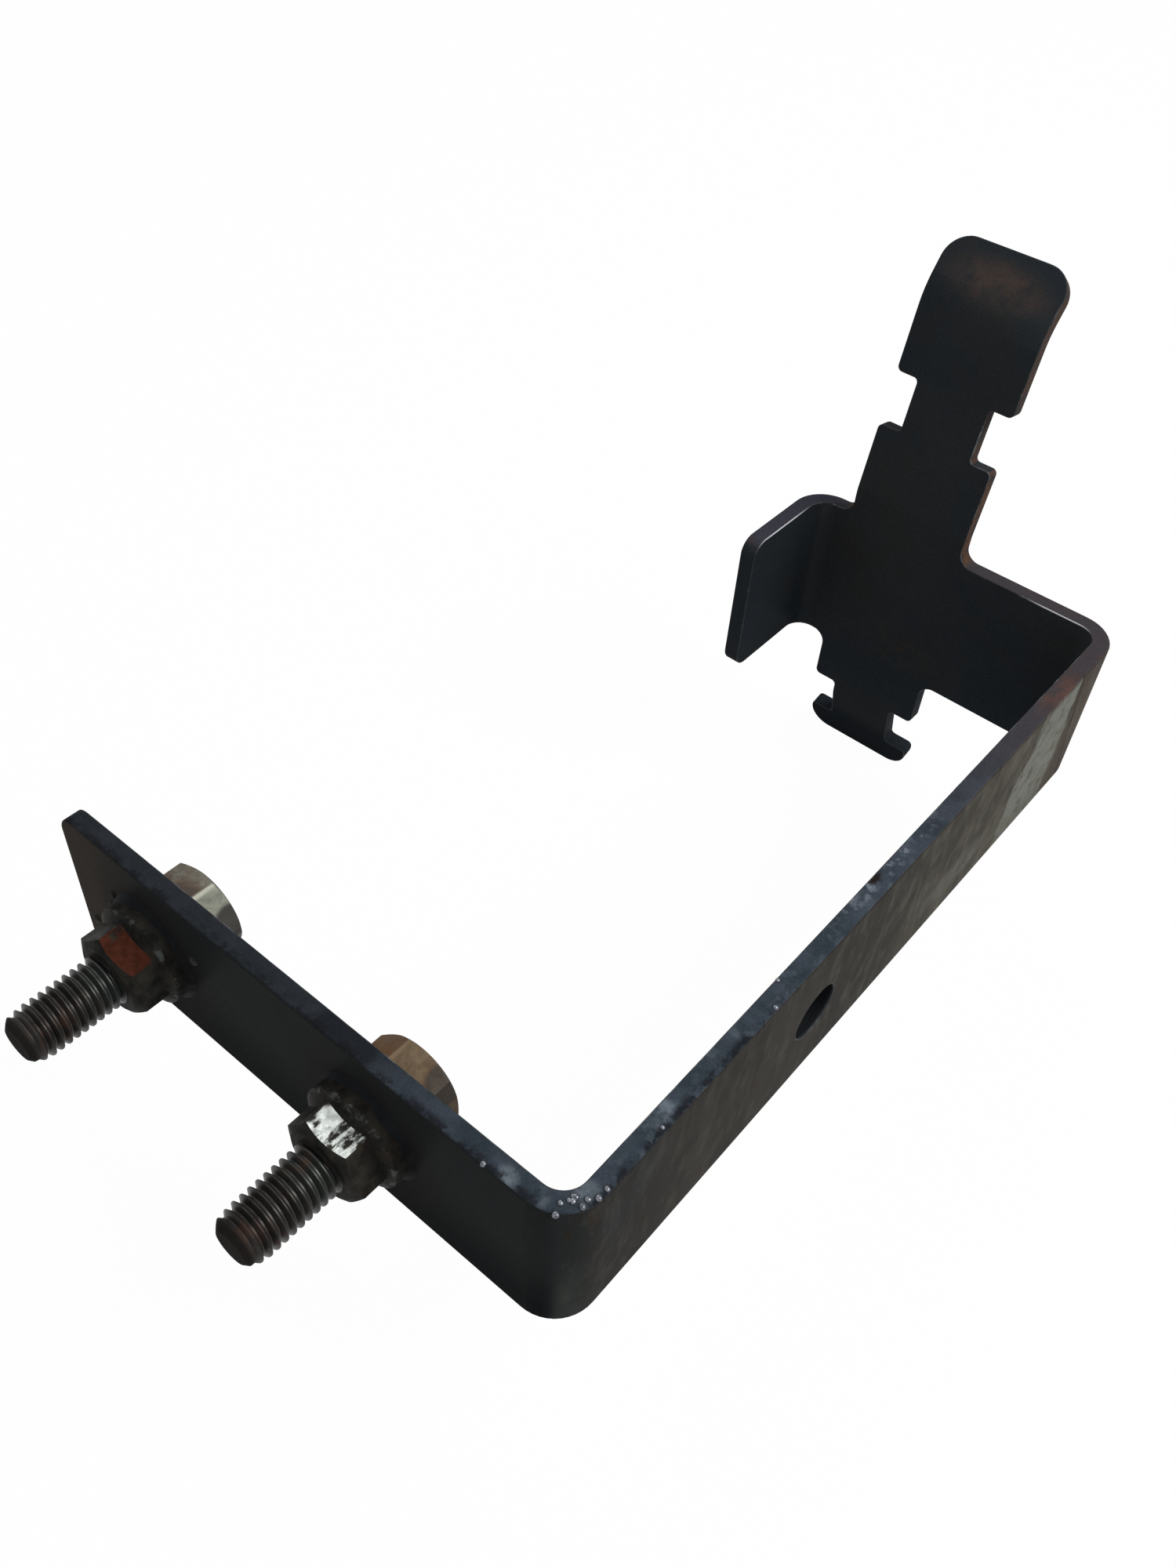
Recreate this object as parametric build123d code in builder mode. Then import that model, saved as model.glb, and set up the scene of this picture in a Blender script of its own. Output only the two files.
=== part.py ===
"""Stamped bracket of folded strip, with a notched tab and two clamped bolts.

One strip of sheet is folded into a squared U: a front leg that carries two bolts, a long web,
and a rear leg with a short return. A tab runs through the rear leg: its tongue stands above
the strip and its foot hangs below, and both have a waist between two square notches.

Frame: the origin is the centre of the web's hole, on the web's outside. X runs along the web
away from the front leg, Y through the web into the U, and Z up across the strip. Sizes are in
millimetres, and lengths are over the outside faces.
"""

import os
from math import cos, radians, sin, tan

from build123d import *

os.makedirs("parts", exist_ok=True)

# Strip
sheet = 3.0
strip_width = 28.0
fold_radius = 6.5  # outside radius of the three folds of the strip
strip_corner_radius = 3.0  # the four free corners
rolled_edge_radius = 0.4  # outside edges, drawn over by the punch

# Folded outline
web_length = 141.0
front_leg_length = 92.5
rear_leg_length = 61.0
return_length = 23.5

# Round hole in the web
web_hole_diameter = 9.0
web_hole_from_front = 53.0

# Tab: heights and depths are measured along its sheet from the strip's own edges
tab_width = 21.8
tab_from_web = 40.6  # centre line
tab_root_radius = 2.5
tab_fold_radius = 5.0  # inside radius of the folds at the tongue's root and in the foot
notch_radius = 0.8  # inner corners of the notches
shoulder_radius = 1.0  # outer corners of the notches

tongue_waist = 13.5
tongue_shoulder = 17.6
tongue_head = 27.0
tongue_length = 51.0
tongue_tip_radius = 4.5
tongue_fold = 5.0
tongue_lean = 12.0
tip_fold = 41.0
tip_fold_radius = 9.0
tip_lean = 38.0

foot_waist = 12.6
foot_shoulder = 9.8
foot_ears = 19.2
foot_length = 24.6
foot_tip_radius = 4.0
foot_fold = 12.0
foot_lean = -14.0

# Bolts: hexagon head, threaded to the head, standing out through the front leg
thread_diameter = 8.0
bolt_length = 25.0  # under the head
bolt_tip_chamfer = 0.9
head_across_flats = 13.0
head_height = 7.0
washer_face_height = 0.4
washer_face_diameter = 11.6
head_face_diameter = 12.7  # circle that the bevel leaves on the head's outer face
bevel_angle = 30.0
bolt_hole_clearance = 1.0  # on the diameter
bolts = {  # place along the front leg, turn of the head and turn of the nut in degrees
    "bend": (33.0, 20.0, 54.0),
    "end": (75.0, 50.0, 40.0),
}

# Nuts: hexagon with a flange, on the outside of the front leg
nut_across_flats = 12.0
nut_height = 7.8
nut_face_diameter = 10.6
flange_diameter = 16.0
flange_rim = 2.6
flange_height = 3.6
nut_bore_clearance = 0.1  # on the diameter

tolerance = 0.01
half_width = strip_width / 2
front = -web_hole_from_front  # outside of the front leg
rear = front + web_length  # outside of the rear leg
rear_inside = rear - sheet
corner_per_flat = 1 / cos(radians(30))  # a hexagon's size across corners over that across flats


def up_the_tab(start, lean, distance):
    """Point at a distance up the tab's front face from start, leaning back by an angle."""
    return (start[0] + distance * sin(radians(lean)), start[1] + distance * cos(radians(lean)))


def tab_plane(start, lean):
    """Plane on the tab's front face, with its Y up the tab and its Z out of the front face."""
    return Plane(
        origin=(start[0], tab_from_web, start[1]),
        x_dir=(0, -1, 0),
        z_dir=(-cos(radians(lean)), 0, sin(radians(lean))),
    )


def notch_pair(waist, lower, upper):
    """Sketch the two notches that leave a waist, from one height up the tab to another."""
    depth = tab_width - waist  # twice the notch, so that it runs out past the tab's side
    middle = (lower + upper) / 2
    with Locations((-(waist + depth) / 2, middle), ((waist + depth) / 2, middle)):
        Rectangle(depth, upper - lower)


def is_tab_root(edge):
    """Tell whether an edge lies where a side of the tab meets an edge of the strip."""
    middle = edge.center()
    beside_tab = abs(abs(middle.Y - tab_from_web) - tab_width / 2) < tolerance
    return beside_tab and abs(abs(middle.Z) - half_width) < tolerance


def through_edges(part, from_centre):
    """Straight edges through the sheet of the tab, at a distance from its centre line."""
    return part.edges().filter_by(GeomType.LINE).filter_by(
        lambda edge: abs(edge.length - sheet) < tolerance
        and abs(abs(edge.center().Y - tab_from_web) - from_centre) < tolerance
    )


# ---------------------------------------------------------------- bracket
foot_fold_point = (rear_inside, -half_width - foot_fold)
foot_tip_point = up_the_tab(foot_fold_point, foot_lean, foot_fold - foot_length)
tongue_fold_point = (rear_inside, half_width + tongue_fold)
tip_fold_point = up_the_tab(tongue_fold_point, tongue_lean, tip_fold - tongue_fold)
tongue_tip_point = up_the_tab(tip_fold_point, tip_lean, tongue_length - tip_fold)

with BuildPart() as bracket:
    # The strip, folded on its outside line
    with BuildSketch(Plane.XY):
        with BuildLine():
            FilletPolyline(
                (front, front_leg_length),
                (front, 0),
                (rear, 0),
                (rear, rear_leg_length),
                (rear - return_length, rear_leg_length),
                radius=fold_radius,
            )
            offset(amount=sheet, side=Side.RIGHT)
        make_face()
    extrude(amount=half_width, both=True)

    for axis in (Axis.X, Axis.Y):
        free_end = bracket.faces().filter_by(axis).sort_by(SortBy.AREA)[0]
        fillet(free_end.edges().group_by(SortBy.LENGTH)[0], radius=strip_corner_radius)

    # The tab through the rear leg, folded on its front face
    with BuildSketch(Plane.XZ.offset(-tab_from_web)):
        with BuildLine():
            FilletPolyline(
                foot_tip_point,
                foot_fold_point,
                tongue_fold_point,
                tip_fold_point,
                tongue_tip_point,
                radius=[radius + sheet for radius in (tab_fold_radius, tab_fold_radius, tip_fold_radius)],
            )
            offset(amount=sheet, side=Side.RIGHT)
        make_face()
    extrude(amount=tab_width / 2, both=True)

    roots = bracket.edges().filter_by(Axis.X).filter_by(is_tab_root)
    fillet(roots, radius=tab_root_radius)

    # The notches, cut square to the sheet on both sides of the foot's fold
    with BuildSketch(tab_plane((rear_inside, -half_width), 0)):
        notch_pair(foot_waist, -foot_fold - sheet / 2, -foot_shoulder)
    extrude(amount=2 * sheet, both=True, mode=Mode.SUBTRACT)
    with BuildSketch(tab_plane(foot_fold_point, foot_lean)):
        notch_pair(foot_waist, foot_fold - foot_ears, 0)
    extrude(amount=2 * sheet, both=True, mode=Mode.SUBTRACT)
    with BuildSketch(tab_plane(tongue_fold_point, tongue_lean)):
        notch_pair(tongue_waist, tongue_shoulder - tongue_fold, tongue_head - tongue_fold)
    extrude(amount=2 * sheet, both=True, mode=Mode.SUBTRACT)

    for waist in sorted({foot_waist, tongue_waist}):
        fillet(through_edges(bracket, waist / 2), radius=notch_radius)
    corners = through_edges(bracket, tab_width / 2).group_by(Axis.Z)
    foot_tip, foot_ear, foot_ledge, _, _, shoulder, head, tongue_tip = corners
    fillet(foot_ear + foot_ledge + shoulder + head, radius=shoulder_radius)
    fillet(foot_tip, radius=foot_tip_radius)
    fillet(tongue_tip, radius=tongue_tip_radius)

    # The holes of the web and the front leg
    with Locations(Plane(origin=(0, 0, 0), z_dir=(0, -1, 0))):
        Hole(web_hole_diameter / 2, depth=sheet)
    for from_web, _, _ in bolts.values():
        with Locations(Plane(origin=(front, from_web, 0), z_dir=(-1, 0, 0))):
            Hole((thread_diameter + bolt_hole_clearance) / 2, depth=sheet)

    # The punch rolls over the outline of the outside: one edge, and all that run on from it
    web_outside = bracket.faces().filter_by(Axis.Y).sort_by(Axis.Y)[0]
    fillet(web_outside.edges().filter_by(Axis.X).sort_by(Axis.Z)[-1], radius=rolled_edge_radius)

bracket.part.label = "bracket"
export_step(bracket.part, "parts/bracket.step")


# ---------------------------------------------------------------- bolts and nuts
def section_plane(seat):
    """Plane through a fastener's axis, with its Y along that axis and out of the seat."""
    return Plane(origin=seat.origin, x_dir=seat.x_dir, z_dir=-seat.y_dir)


def bevelled_blank(across_flats, face_diameter, height):
    """Sketch half the round blank that bevels a hexagon's outer corners down to a circle."""
    corner = across_flats * corner_per_flat / 2
    face_circle = face_diameter / 2
    bevel = (corner - face_circle) * tan(radians(bevel_angle))
    with BuildLine() as half:
        Polyline(
            (0, 0),
            (corner, 0),
            (corner, height - bevel),
            (face_circle, height),
            (0, height),
            close=True,
        )
    make_face(half.line.edges())


def make_bolt(seat, turn):
    """Hexagon bolt with its head on a seat and its shank running back through it."""
    with BuildPart() as bolt:
        with BuildSketch(seat.offset(washer_face_height)):
            RegularPolygon(head_across_flats / 2, 6, major_radius=False, rotation=turn)
        extrude(amount=head_height - washer_face_height)
        with BuildSketch(section_plane(seat)):
            bevelled_blank(head_across_flats, head_face_diameter, head_height)
        revolve(axis=Axis(seat.origin, seat.z_dir), mode=Mode.INTERSECT)
        with BuildSketch(seat):
            Circle(washer_face_diameter / 2)
        extrude(amount=washer_face_height)
        with BuildSketch(seat):
            Circle(thread_diameter / 2)
        extrude(amount=-bolt_length)
        tip = bolt.faces().sort_by(Axis(seat.origin, seat.z_dir))[0]
        chamfer(tip.edges(), length=bolt_tip_chamfer)
    return bolt.part


def make_nut(seat, turn):
    """Hexagon nut with a flange, its flange on a seat."""
    with BuildPart() as nut:
        with BuildSketch(seat):
            RegularPolygon(nut_across_flats / 2, 6, major_radius=False, rotation=turn)
        extrude(amount=nut_height)
        with BuildSketch(section_plane(seat)):
            bevelled_blank(nut_across_flats, nut_face_diameter, nut_height)
        revolve(axis=Axis(seat.origin, seat.z_dir), mode=Mode.INTERSECT)
        with BuildSketch(section_plane(seat)):
            with BuildLine():
                Polyline(
                    (0, 0),
                    (flange_diameter / 2, 0),
                    (flange_diameter / 2, flange_rim),
                    (nut_across_flats / 2, flange_height),
                    (0, flange_height),
                    close=True,
                )
            make_face()
        revolve(axis=Axis(seat.origin, seat.z_dir))
        with BuildSketch(seat):
            Circle((thread_diameter + nut_bore_clearance) / 2)
        extrude(amount=nut_height, mode=Mode.SUBTRACT)
    return nut.part


for place, (from_web, head_turn, nut_turn) in bolts.items():
    head_seat = Plane(origin=(front + sheet, from_web, 0), x_dir=(0, 1, 0), z_dir=(1, 0, 0))
    nut_seat = Plane(origin=(front, from_web, 0), x_dir=(0, 1, 0), z_dir=(-1, 0, 0))
    for name, fastener in (
        (f"{place}_bolt", make_bolt(head_seat, head_turn)),
        (f"{place}_nut", make_nut(nut_seat, nut_turn)),
    ):
        fastener.label = name
        export_step(fastener, f"parts/{name}.step")
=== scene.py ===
"""Looks of a folded steel bracket with two bolts clamped through its front leg.

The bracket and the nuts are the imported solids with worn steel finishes. The bolts are cut here
with real threads, and weld metal, drops of spatter and small lumps are added where the steel
carries them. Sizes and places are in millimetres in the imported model's own frame, and MM makes
them the frame's metres.
"""

import math

import bmesh
import bpy
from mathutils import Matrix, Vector, noise


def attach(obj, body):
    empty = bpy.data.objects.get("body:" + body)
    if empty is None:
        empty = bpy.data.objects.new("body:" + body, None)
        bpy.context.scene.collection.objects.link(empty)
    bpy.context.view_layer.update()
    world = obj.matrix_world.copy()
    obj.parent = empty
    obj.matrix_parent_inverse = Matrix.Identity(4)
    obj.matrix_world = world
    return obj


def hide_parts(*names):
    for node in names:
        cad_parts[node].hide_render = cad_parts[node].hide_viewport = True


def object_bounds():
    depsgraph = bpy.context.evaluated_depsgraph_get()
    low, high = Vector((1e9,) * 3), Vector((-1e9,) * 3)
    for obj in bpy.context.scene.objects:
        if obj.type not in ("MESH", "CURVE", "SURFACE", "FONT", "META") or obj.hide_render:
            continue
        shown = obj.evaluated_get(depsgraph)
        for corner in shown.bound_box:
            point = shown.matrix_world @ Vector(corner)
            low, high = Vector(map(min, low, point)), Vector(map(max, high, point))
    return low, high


MM = 0.001

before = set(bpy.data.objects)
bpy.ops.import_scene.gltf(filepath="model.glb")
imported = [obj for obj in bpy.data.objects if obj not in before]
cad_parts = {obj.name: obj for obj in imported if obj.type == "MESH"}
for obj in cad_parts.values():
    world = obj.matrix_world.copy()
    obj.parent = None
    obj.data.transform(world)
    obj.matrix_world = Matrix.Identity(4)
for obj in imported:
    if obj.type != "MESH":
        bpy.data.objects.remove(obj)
bounds_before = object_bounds()


# ---------------------------------------------------------------- sizes of the pieces
HALF_WIDTH = 14.0  # of the strip
SHEET = 3.0
FRONT_X = -53.0  # outside of the front leg
WEB_HOLE_RADIUS = 4.5
JOIN_WITHIN, FLAT_WITHIN = 0.002, 0.4  # in millimetres, and in degrees
BURR_WIDTH, BURR_FROM = 0.16, 40.0  # the burr runs along edges that turn by these degrees

BOLT_PLACES = {"bend_bolt": 33.0, "end_bolt": 75.0}  # from the web
BOLT_LENGTH = 25.0  # under the head
HEAD_TURN = {"bend_bolt": 20.0, "end_bolt": 50.0}  # in degrees
HEAD_ACROSS_FLATS = 13.0
HEAD_HEIGHT = 7.0
HEAD_FACE_DIAMETER = 12.7
HEAD_BEVEL = 30.0  # in degrees
WASHER_FACE_HEIGHT = 0.4
WASHER_FACE_DIAMETER = 11.6

THREAD_RADIUS = 4.0
THREAD_PITCH = 1.25
THREAD_DEPTH = THREAD_PITCH * 0.6134  # of a metric thread on a bolt
THREAD_CREST = THREAD_PITCH / 8.0  # length of the flat on a crest
THREAD_FLANK = THREAD_DEPTH * math.tan(math.radians(30.0))  # length of a flank along the bolt
THREAD_SEEN_FROM = 11.0  # under the head: the plain bores of the leg and the nut hide the rest
THREAD_PROFILE = [  # places along one pitch, and the radius at each
    (0.0, THREAD_RADIUS),
    (THREAD_CREST, THREAD_RADIUS),
    (THREAD_CREST + THREAD_FLANK, THREAD_RADIUS - THREAD_DEPTH),
    (THREAD_PITCH - THREAD_FLANK, THREAD_RADIUS - THREAD_DEPTH),
]
TIP_CHAMFER = 0.9
TIP_TAPER_LENGTH = 3.0
TIP_TAPER = 0.18  # loss of radius in each millimetre of that length

NUT_FLAT_RADIUS = 6.0  # from the nut's axis to its flats
NUT_FLAT_X = FRONT_X - 5.5  # middle of the flats that show above the flange
FLANGE_RADIUS = 8.0
FLANGE_RIM_X = FRONT_X - 2.6

BOLT_STEPS, WELD_STEPS = 96, 72  # columns round each
THREAD_TURNS = int(BOLT_LENGTH / THREAD_PITCH) + 2  # a turn runs out at each end
CLEAR_OF_HEAD, CLEAR_OF_FLANGE = 0.02, 0.02  # gaps that keep two points from meeting
DOUBLED_POINTS = 1e-7  # in metres: points nearer than this become one

WELD_INNER_RADIUS = 7.6  # inside the flange
WELD_WIDTH, WELD_HEIGHT = 0.8, 1.0  # of the fillet, where it neither swells nor sags
WELD_SAG = 0.5  # more width at the very bottom
WELD_SUNK = 0.1  # into the leg
WELD_CLIMB = 0.25  # more height on the inner side
WELD_HOLLOW = [(0.38, 0.42), (0.75, 0.12)]  # points as shares of its width and height

BEAD_PLACES = [  # x and y on the strip's upper edge
    (-52.0, 2.9), (-50.6, 3.4), (-49.5, 2.5), (-48.9, 2.6), (-49.3, 1.3), (-49.0, 2.9),
    (-49.7, 2.9), (-48.2, 1.4), (-47.3, 0.6), (-45.8, 0.6), (-52.8, 13.1), (-35.5, 0.7),
    (-8.9, 2.7), (-12.6, 0.5),
]
LUMP_PLACES = [  # y and z on the leg's outside
    (82.8, 4.4), (89.9, -6.9), (84.4, -2.8), (84.0, 1.0), (65.5, 5.0),
]

# Stage, in metres and degrees
FLOOR_SIZE, FLOOR_GAP = 30.0, 0.0006
FLOOR_GLOW = 0.975  # share of white that the camera sees in the floor
SKY_LIGHT = 0.55
LAMP_TARGET = (0.02, 0.04, 0.0)
CAMERA_PLACE = (-0.11114, -0.04096, 0.15947)
CAMERA_TURN = (43.8194, -3.167, -49.9695)
CAMERA_LENS = 32.307


# ---------------------------------------------------------------- node tree helpers
FLOAT, VECTOR = "NodeSocketFloat", "NodeSocketVector"
COLUMN_WIDTH = 190  # between one node and the next in the editor


class Tree:
    """Adds nodes to a node tree, and links values or sockets to their inputs."""

    def __init__(self, tree):
        self.node_tree = tree
        self.column = 0

    def add(self, kind, inputs=None, **settings):
        node = self.node_tree.nodes.new(kind)
        node.location = (self.column * COLUMN_WIDTH, 0)
        self.column += 1
        for name, value in settings.items():
            setattr(node, name, value)
        for name, value in (inputs or {}).items():
            self.feed(node.inputs[name], value)
        return node

    def feed(self, socket, value):
        if isinstance(value, bpy.types.NodeSocket):
            self.node_tree.links.new(value, socket)
        else:
            socket.default_value = value

    def group(self, group, **inputs):
        return self.add("ShaderNodeGroup", inputs, node_tree=group)

    def math(self, operation, *values):
        return self.add("ShaderNodeMath", dict(enumerate(values)), operation=operation).outputs[0]

    def vector(self, operation, *vectors):
        """Vector maths: a value from LENGTH and DOT_PRODUCT, and a vector from the rest."""
        inputs = dict(enumerate(vectors))
        node = self.add("ShaderNodeVectorMath", inputs, operation=operation)
        return node.outputs["Value" if operation in ("LENGTH", "DOT_PRODUCT") else "Vector"]

    def scale(self, vector, factor):
        """Vector or colour made larger or smaller by a factor."""
        inputs = {0: vector, "Scale": factor}
        return self.add("ShaderNodeVectorMath", inputs, operation="SCALE").outputs[0]

    def mix(self, factor, first, second, kind="RGBA"):
        """One colour where the factor is 0, and the other where it is 1."""
        inputs = {"Factor": factor, "A": first, "B": second}
        return self.add("ShaderNodeMix", inputs, data_type=kind).outputs["Result"]

    def blend(self, factor, first, second):
        """One value where the factor is 0, and the other where it is 1."""
        return self.mix(factor, first, second, "FLOAT")

    def ramp(self, value, low, high, to_low=0.0, to_high=1.0):
        """Smooth step of a value from one level to another. Low may be above high."""
        inputs = {"Value": value, "From Min": low, "From Max": high}
        inputs.update({"To Min": to_low, "To Max": to_high})
        return self.add("ShaderNodeMapRange", inputs, interpolation_type="SMOOTHSTEP").outputs[0]

    def between(self, value, low, high, soft):
        """1 where a value lies between two levels, with soft ends."""
        rise = self.ramp(value, low - soft, low + soft)
        fall = self.ramp(value, high - soft, high + soft, 1.0, 0.0)
        return self.all_of(rise, fall)

    def all_of(self, *masks):
        """Product of masks, so 1 only where every one of them is."""
        product = masks[0]
        for mask in masks[1:]:
            product = self.math("MULTIPLY", product, mask)
        return product

    def seen_directly(self):
        """1 for rays from the camera and for those that mirror or pass through a surface."""
        ray = self.add("ShaderNodeLightPath").outputs
        seen = self.math("MAXIMUM", ray["Is Camera Ray"], ray["Is Glossy Ray"])
        return self.math("MAXIMUM", seen, ray["Is Transmission Ray"])


def node_group(name, inputs, outputs, kind="ShaderNodeTree"):
    """Empty node group with named sockets. Returns its tree, input sockets and output node."""
    group = bpy.data.node_groups.new(name, kind)
    for socket_name, socket_kind, *default in inputs:
        socket = group.interface.new_socket(socket_name, in_out="INPUT", socket_type=socket_kind)
        if default:
            socket.default_value = default[0]
    for socket_name, socket_kind in outputs:
        group.interface.new_socket(socket_name, in_out="OUTPUT", socket_type=socket_kind)
    tree = Tree(group)
    return tree, tree.add("NodeGroupInput").outputs, tree.add("NodeGroupOutput")


def grey(value):
    return (value, value, value, 1.0)


def steel(red, green, blue):
    """Linear colour from 0 to 255 screen values."""
    def linear(value):
        value /= 255.0
        return value / 12.92 if value <= 0.04045 else ((value + 0.055) / 1.055) ** 2.4

    return (linear(red), linear(green), linear(blue), 1.0)


def shade(colour, factor):
    """Fixed colour made lighter or darker by a factor."""
    return (colour[0] * factor, colour[1] * factor, colour[2] * factor, 1.0)


# ---------------------------------------------------------------- shared effects
def build_millimetres():
    """Object coordinates in millimetres, whole and by axis."""
    outputs = [("Place", VECTOR), ("X", FLOAT), ("Y", FLOAT), ("Z", FLOAT)]
    tree, _, out = node_group("Millimetres", [], outputs)
    coordinates = tree.add("ShaderNodeTexCoord").outputs["Object"]
    place = tree.scale(coordinates, 1.0 / MM)
    axes = tree.add("ShaderNodeSeparateXYZ", {0: place})
    tree.feed(out.inputs["Place"], place)
    for axis in "XYZ":
        tree.feed(out.inputs[axis], axes.outputs[axis])
    return tree.node_tree


def build_patches():
    """Soft-edged patches, for rust, dust and worn coat. Size is in millimetres."""
    inputs = [("Place", VECTOR), ("Size", FLOAT, 8.0), ("Cover", FLOAT, 0.5)]
    inputs += [("Edge", FLOAT, 0.08), ("Seed", FLOAT, 0.0)]
    tree, given, out = node_group("Patches", inputs, [("Mask", FLOAT)])
    clouds = tree.add(
        "ShaderNodeTexNoise",
        {
            "Vector": given["Place"],
            "W": given["Seed"],
            "Scale": tree.math("DIVIDE", 1.0, given["Size"]),
            "Detail": 5.0,
            "Roughness": 0.62,
        },
        noise_dimensions="4D",
    )
    level = tree.math("SUBTRACT", 1.0, given["Cover"])
    low = tree.math("SUBTRACT", level, given["Edge"])
    high = tree.math("ADD", level, given["Edge"])
    tree.feed(out.inputs["Mask"], tree.ramp(clouds.outputs["Fac"], low, high))
    return tree.node_tree


def build_grain():
    """Fine grain of rolled or cast steel: a speckle for colour and a height for bump.

    The height is that speckle on top of swells some eight times as wide.
    """
    inputs = [("Place", VECTOR), ("Size", FLOAT, 0.35)]
    tree, given, out = node_group("Steel grain", inputs, [("Speckle", FLOAT), ("Height", FLOAT)])

    def clouds(scale, roughness):
        inputs = {"Vector": given["Place"], "Scale": scale, "Detail": 3.0, "Roughness": roughness}
        return tree.add("ShaderNodeTexNoise", inputs).outputs["Fac"]

    scale = tree.math("DIVIDE", 1.0, given["Size"])
    speckle = clouds(scale, roughness=0.7)
    swells = clouds(tree.math("MULTIPLY", scale, 0.12), roughness=0.55)
    tree.feed(out.inputs["Speckle"], speckle)
    tree.feed(out.inputs["Height"], tree.math("MULTIPLY_ADD", swells, 1.6, speckle))
    return tree.node_tree


def build_spot():
    """Soft spot about a point: 1 in the inner third of its radius, and 0 outside it."""
    inputs = [("Place", VECTOR), ("Middle", VECTOR), ("Stretch", VECTOR, (1.0, 1.0, 1.0))]
    inputs += [("Radius", FLOAT, 5.0)]
    tree, given, out = node_group("Spot", inputs, [("Mask", FLOAT)])
    away = tree.vector("SUBTRACT", given["Place"], given["Middle"])
    distance = tree.vector("LENGTH", tree.vector("DIVIDE", away, given["Stretch"]))
    inner = tree.math("MULTIPLY", given["Radius"], 0.35)
    tree.feed(out.inputs["Mask"], tree.ramp(distance, inner, given["Radius"], 1.0, 0.0))
    return tree.node_tree


MILLIMETRES = build_millimetres()
PATCHES = build_patches()
GRAIN = build_grain()
SPOT = build_spot()


class Finish(Tree):
    """New material: its nodes, its surface shader, and the place and axes in millimetres."""

    def __init__(self, name):
        self.material = bpy.data.materials.new(name)
        self.material.use_nodes = True
        super().__init__(self.material.node_tree)
        self.shader = self.node_tree.nodes["Principled BSDF"]
        at = self.group(MILLIMETRES).outputs
        self.place, self.x, self.y, self.z = at["Place"], at["X"], at["Y"], at["Z"]

    def surface(self, **inputs):
        """Feed the surface shader. A plain number is set on the shader's own socket."""
        for name, value in inputs.items():
            self.feed(self.shader.inputs[name.replace("_", " ")], value)

    def facing(self, axis, sign=1.0, low=0.55, high=0.85):
        """1 where the surface faces along an axis of the frame."""
        normal = self.add("ShaderNodeNewGeometry").outputs["True Normal"]
        part = self.add("ShaderNodeSeparateXYZ", {0: normal}).outputs[axis]
        return self.ramp(self.math("MULTIPLY", part, sign), low, high)

    def on_flat(self, degrees):
        """1 on the flat of a hexagon along X that faces an angle from +Y towards +Z."""
        normal = self.add("ShaderNodeNewGeometry").outputs["True Normal"]
        way = (0.0, math.cos(math.radians(degrees)), math.sin(math.radians(degrees)))
        return self.ramp(self.vector("DOT_PRODUCT", normal, way), low=0.9, high=0.97)

    def patches(self, size, cover, edge, seed, stretch=None):
        """Mask of patches. They draw out along the axes where stretch is small."""
        place = self.vector("MULTIPLY", self.place, stretch) if stretch else self.place
        node = self.group(PATCHES, Place=place, Size=size, Cover=cover, Edge=edge, Seed=seed)
        return node.outputs["Mask"]

    def spot(self, middle, radius, stretch=(1.0, 1.0, 1.0)):
        """Mask of one spot, longer along the axes where stretch is large."""
        node = self.group(SPOT, Place=self.place, Middle=middle, Stretch=stretch, Radius=radius)
        return node.outputs["Mask"]

    def paint(self, colour, mask, strength, over):
        """Lay one colour over another where a mask says, at a strength."""
        return self.mix(self.math("MULTIPLY", mask, strength), colour, over)

    def fine_grain(self, colour, size, contrast, depth):
        """Speckle the colour and give the surface a fine relief. Returns the speckle."""
        grain = self.group(GRAIN, Place=self.place, Size=size).outputs
        light = self.math("MULTIPLY_ADD", grain["Speckle"], contrast, 1.0 - contrast / 2.0)
        relief = {"Height": grain["Height"], "Strength": 0.4, "Distance": depth * MM}
        bump = self.add("ShaderNodeBump", relief)
        self.surface(Base_Color=self.scale(colour, light), Normal=bump.outputs[0])
        return grain["Speckle"]


# ---------------------------------------------------------------- strip finish
BLUE_BLACK, FADED_BLACK = steel(34, 39, 44), steel(42, 44, 45)
COAT_BROWN, COAT_FRECKLE = steel(44, 39, 33), steel(66, 52, 41)
RETURN_PAINTED_SHADE, FOOT_BLACK, HOLE_PAINTED_SHADE = steel(22, 27, 31), steel(20, 25, 30), steel(13, 14, 16)
LEG_BLACK, LEG_LOW_PAINTED_SHADE, LEG_END_BROWN = steel(34, 35, 35), steel(8, 10, 13), steel(56, 50, 44)
HEAT_BROWN, LAP_BLACK = steel(34, 28, 25), steel(22, 23, 26)
TAB_RUST, TIP_RUST, TAB_STAIN = steel(82, 56, 38), steel(76, 61, 53), steel(54, 47, 33)

WEB_BY_BEND, WEB_MIDDLE, WEB_REAR = steel(36, 38, 38), steel(47, 45, 42), steel(68, 65, 57)
BEND_GREEN, WEB_SHADE, WEB_STREAK = steel(48, 52, 50), steel(36, 33, 30), steel(84, 82, 75)
WEB_STAIN, WEB_RUST, WEB_PIT = steel(46, 36, 29), steel(60, 50, 43), steel(26, 23, 20)
WEB_LIGHT, PALE_BAND = steel(92, 91, 85), steel(102, 104, 97)
BROWN_LINE, DARK_STREAK, BRINK_BROWN = steel(42, 33, 27), steel(46, 42, 36), steel(38, 34, 31)

EDGE_DARK, EDGE_BLUE, EDGE_REAR = steel(38, 45, 51), steel(51, 57, 65), steel(52, 49, 52)
EDGE_RETURN, EDGE_LEG, EDGE_STAIN = steel(43, 46, 55), steel(27, 28, 29), steel(24, 26, 30)
EDGE_BROWN, EDGE_RUST, EDGE_NICK = steel(66, 48, 40), steel(88, 58, 45), steel(28, 20, 17)
SCUFF, EDGE_PAINTED_SHEEN, SMEAR = steel(116, 120, 130), steel(84, 92, 100), steel(104, 112, 120)

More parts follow.
